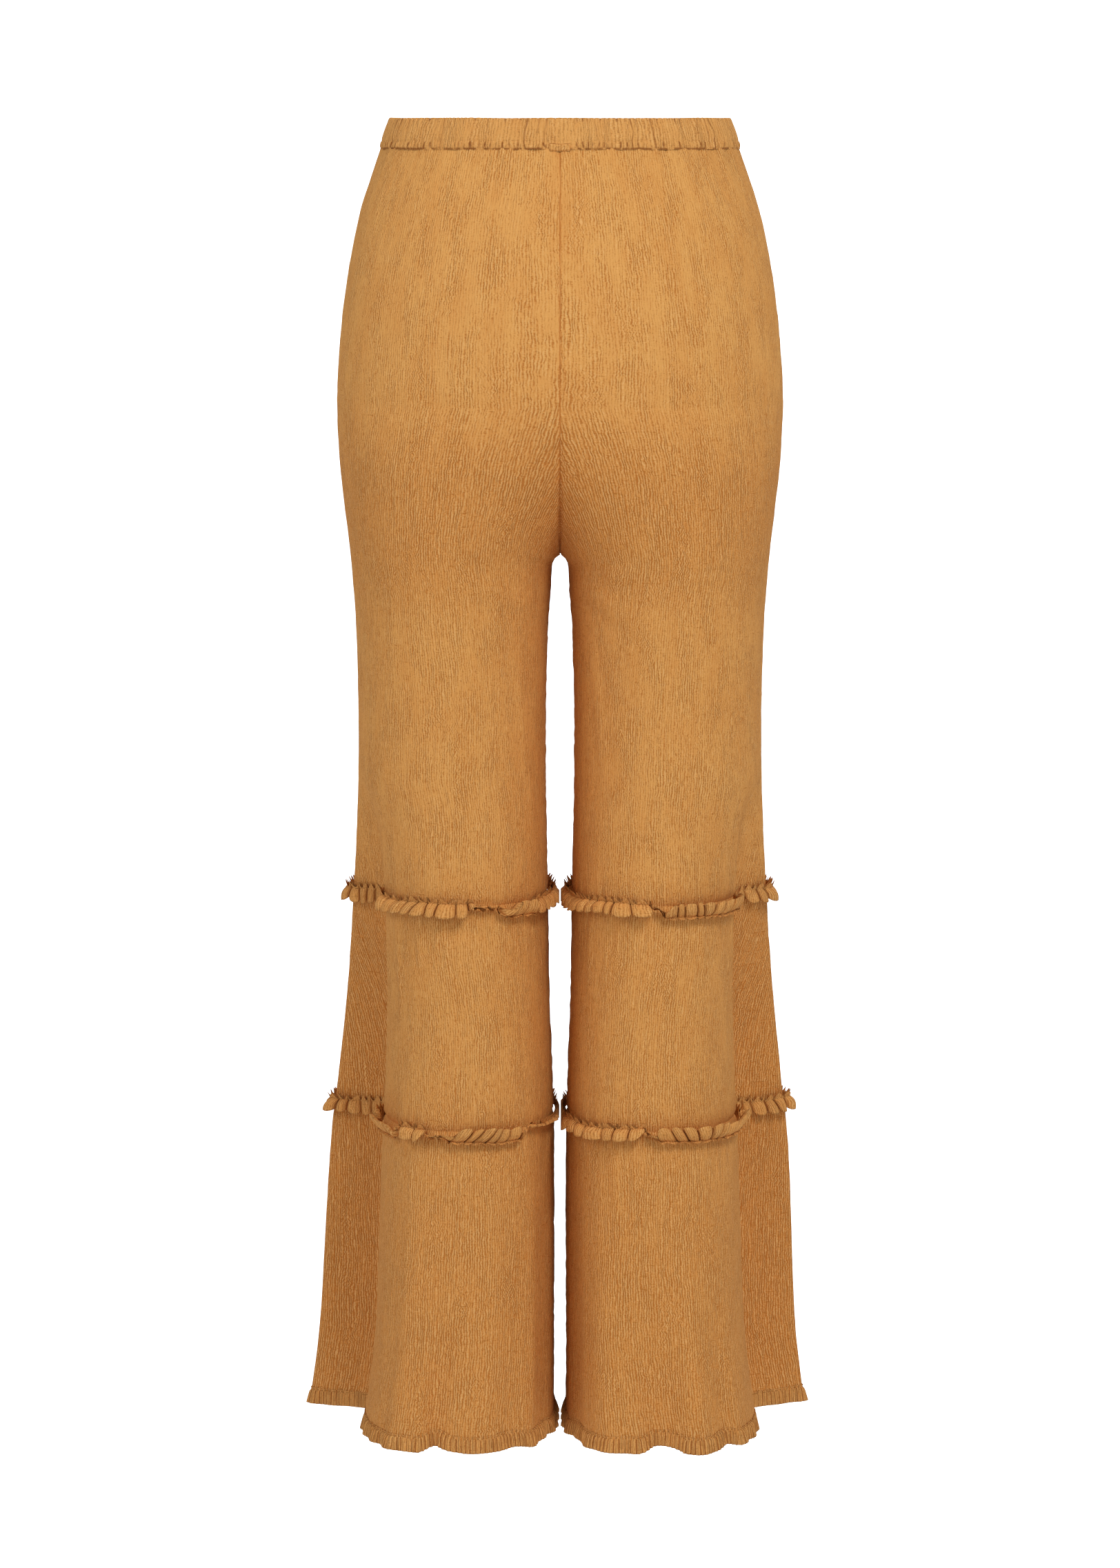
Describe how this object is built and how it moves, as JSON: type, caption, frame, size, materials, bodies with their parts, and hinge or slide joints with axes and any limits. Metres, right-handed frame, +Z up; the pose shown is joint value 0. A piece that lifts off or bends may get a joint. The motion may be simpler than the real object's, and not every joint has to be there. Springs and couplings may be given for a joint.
{
  "type": "flared trousers",
  "caption": "Flared trousers with a gathered elastic waist, tiered legs and a frill at every tier seam and hem, filled out as if worn.",
  "frame": {"origin": "centre of the waistband, at the middle of its height, where the wearer's waist holds the trousers", "axes": "+Z up, -Y towards the back of the trousers (the seat), +X towards the wearer's right"},
  "size_m": [0.3848, 0.2617, 1.0008],
  "materials": {
    "crinkled_cotton": "matt ochre cotton with fine crinkles running down the cloth",
    "frill_cotton": "matt ochre cotton, gathered and pleated",
    "gathered_casing": "matt ochre cotton gathered over elastic"
  },
  "bodies": {
    "root": {"waistband": "gathered_casing", "back_tab": "gathered_casing", "upper_back_left": "crinkled_cotton", "upper_back_right": "crinkled_cotton", "upper_front_left": "crinkled_cotton", "upper_front_right": "crinkled_cotton", "middle_back_left": "crinkled_cotton", "middle_back_right": "crinkled_cotton", "middle_front_left": "crinkled_cotton", "middle_front_right": "crinkled_cotton", "lower_back_left": "crinkled_cotton", "lower_back_right": "crinkled_cotton", "lower_front_left": "crinkled_cotton", "lower_front_right": "crinkled_cotton", "knee_frill_left": "frill_cotton", "knee_frill_right": "frill_cotton", "shin_frill_left": "frill_cotton", "shin_frill_right": "frill_cotton", "hem_frill_left": "frill_cotton", "hem_frill_right": "frill_cotton"}
  },
  "joints": []
}
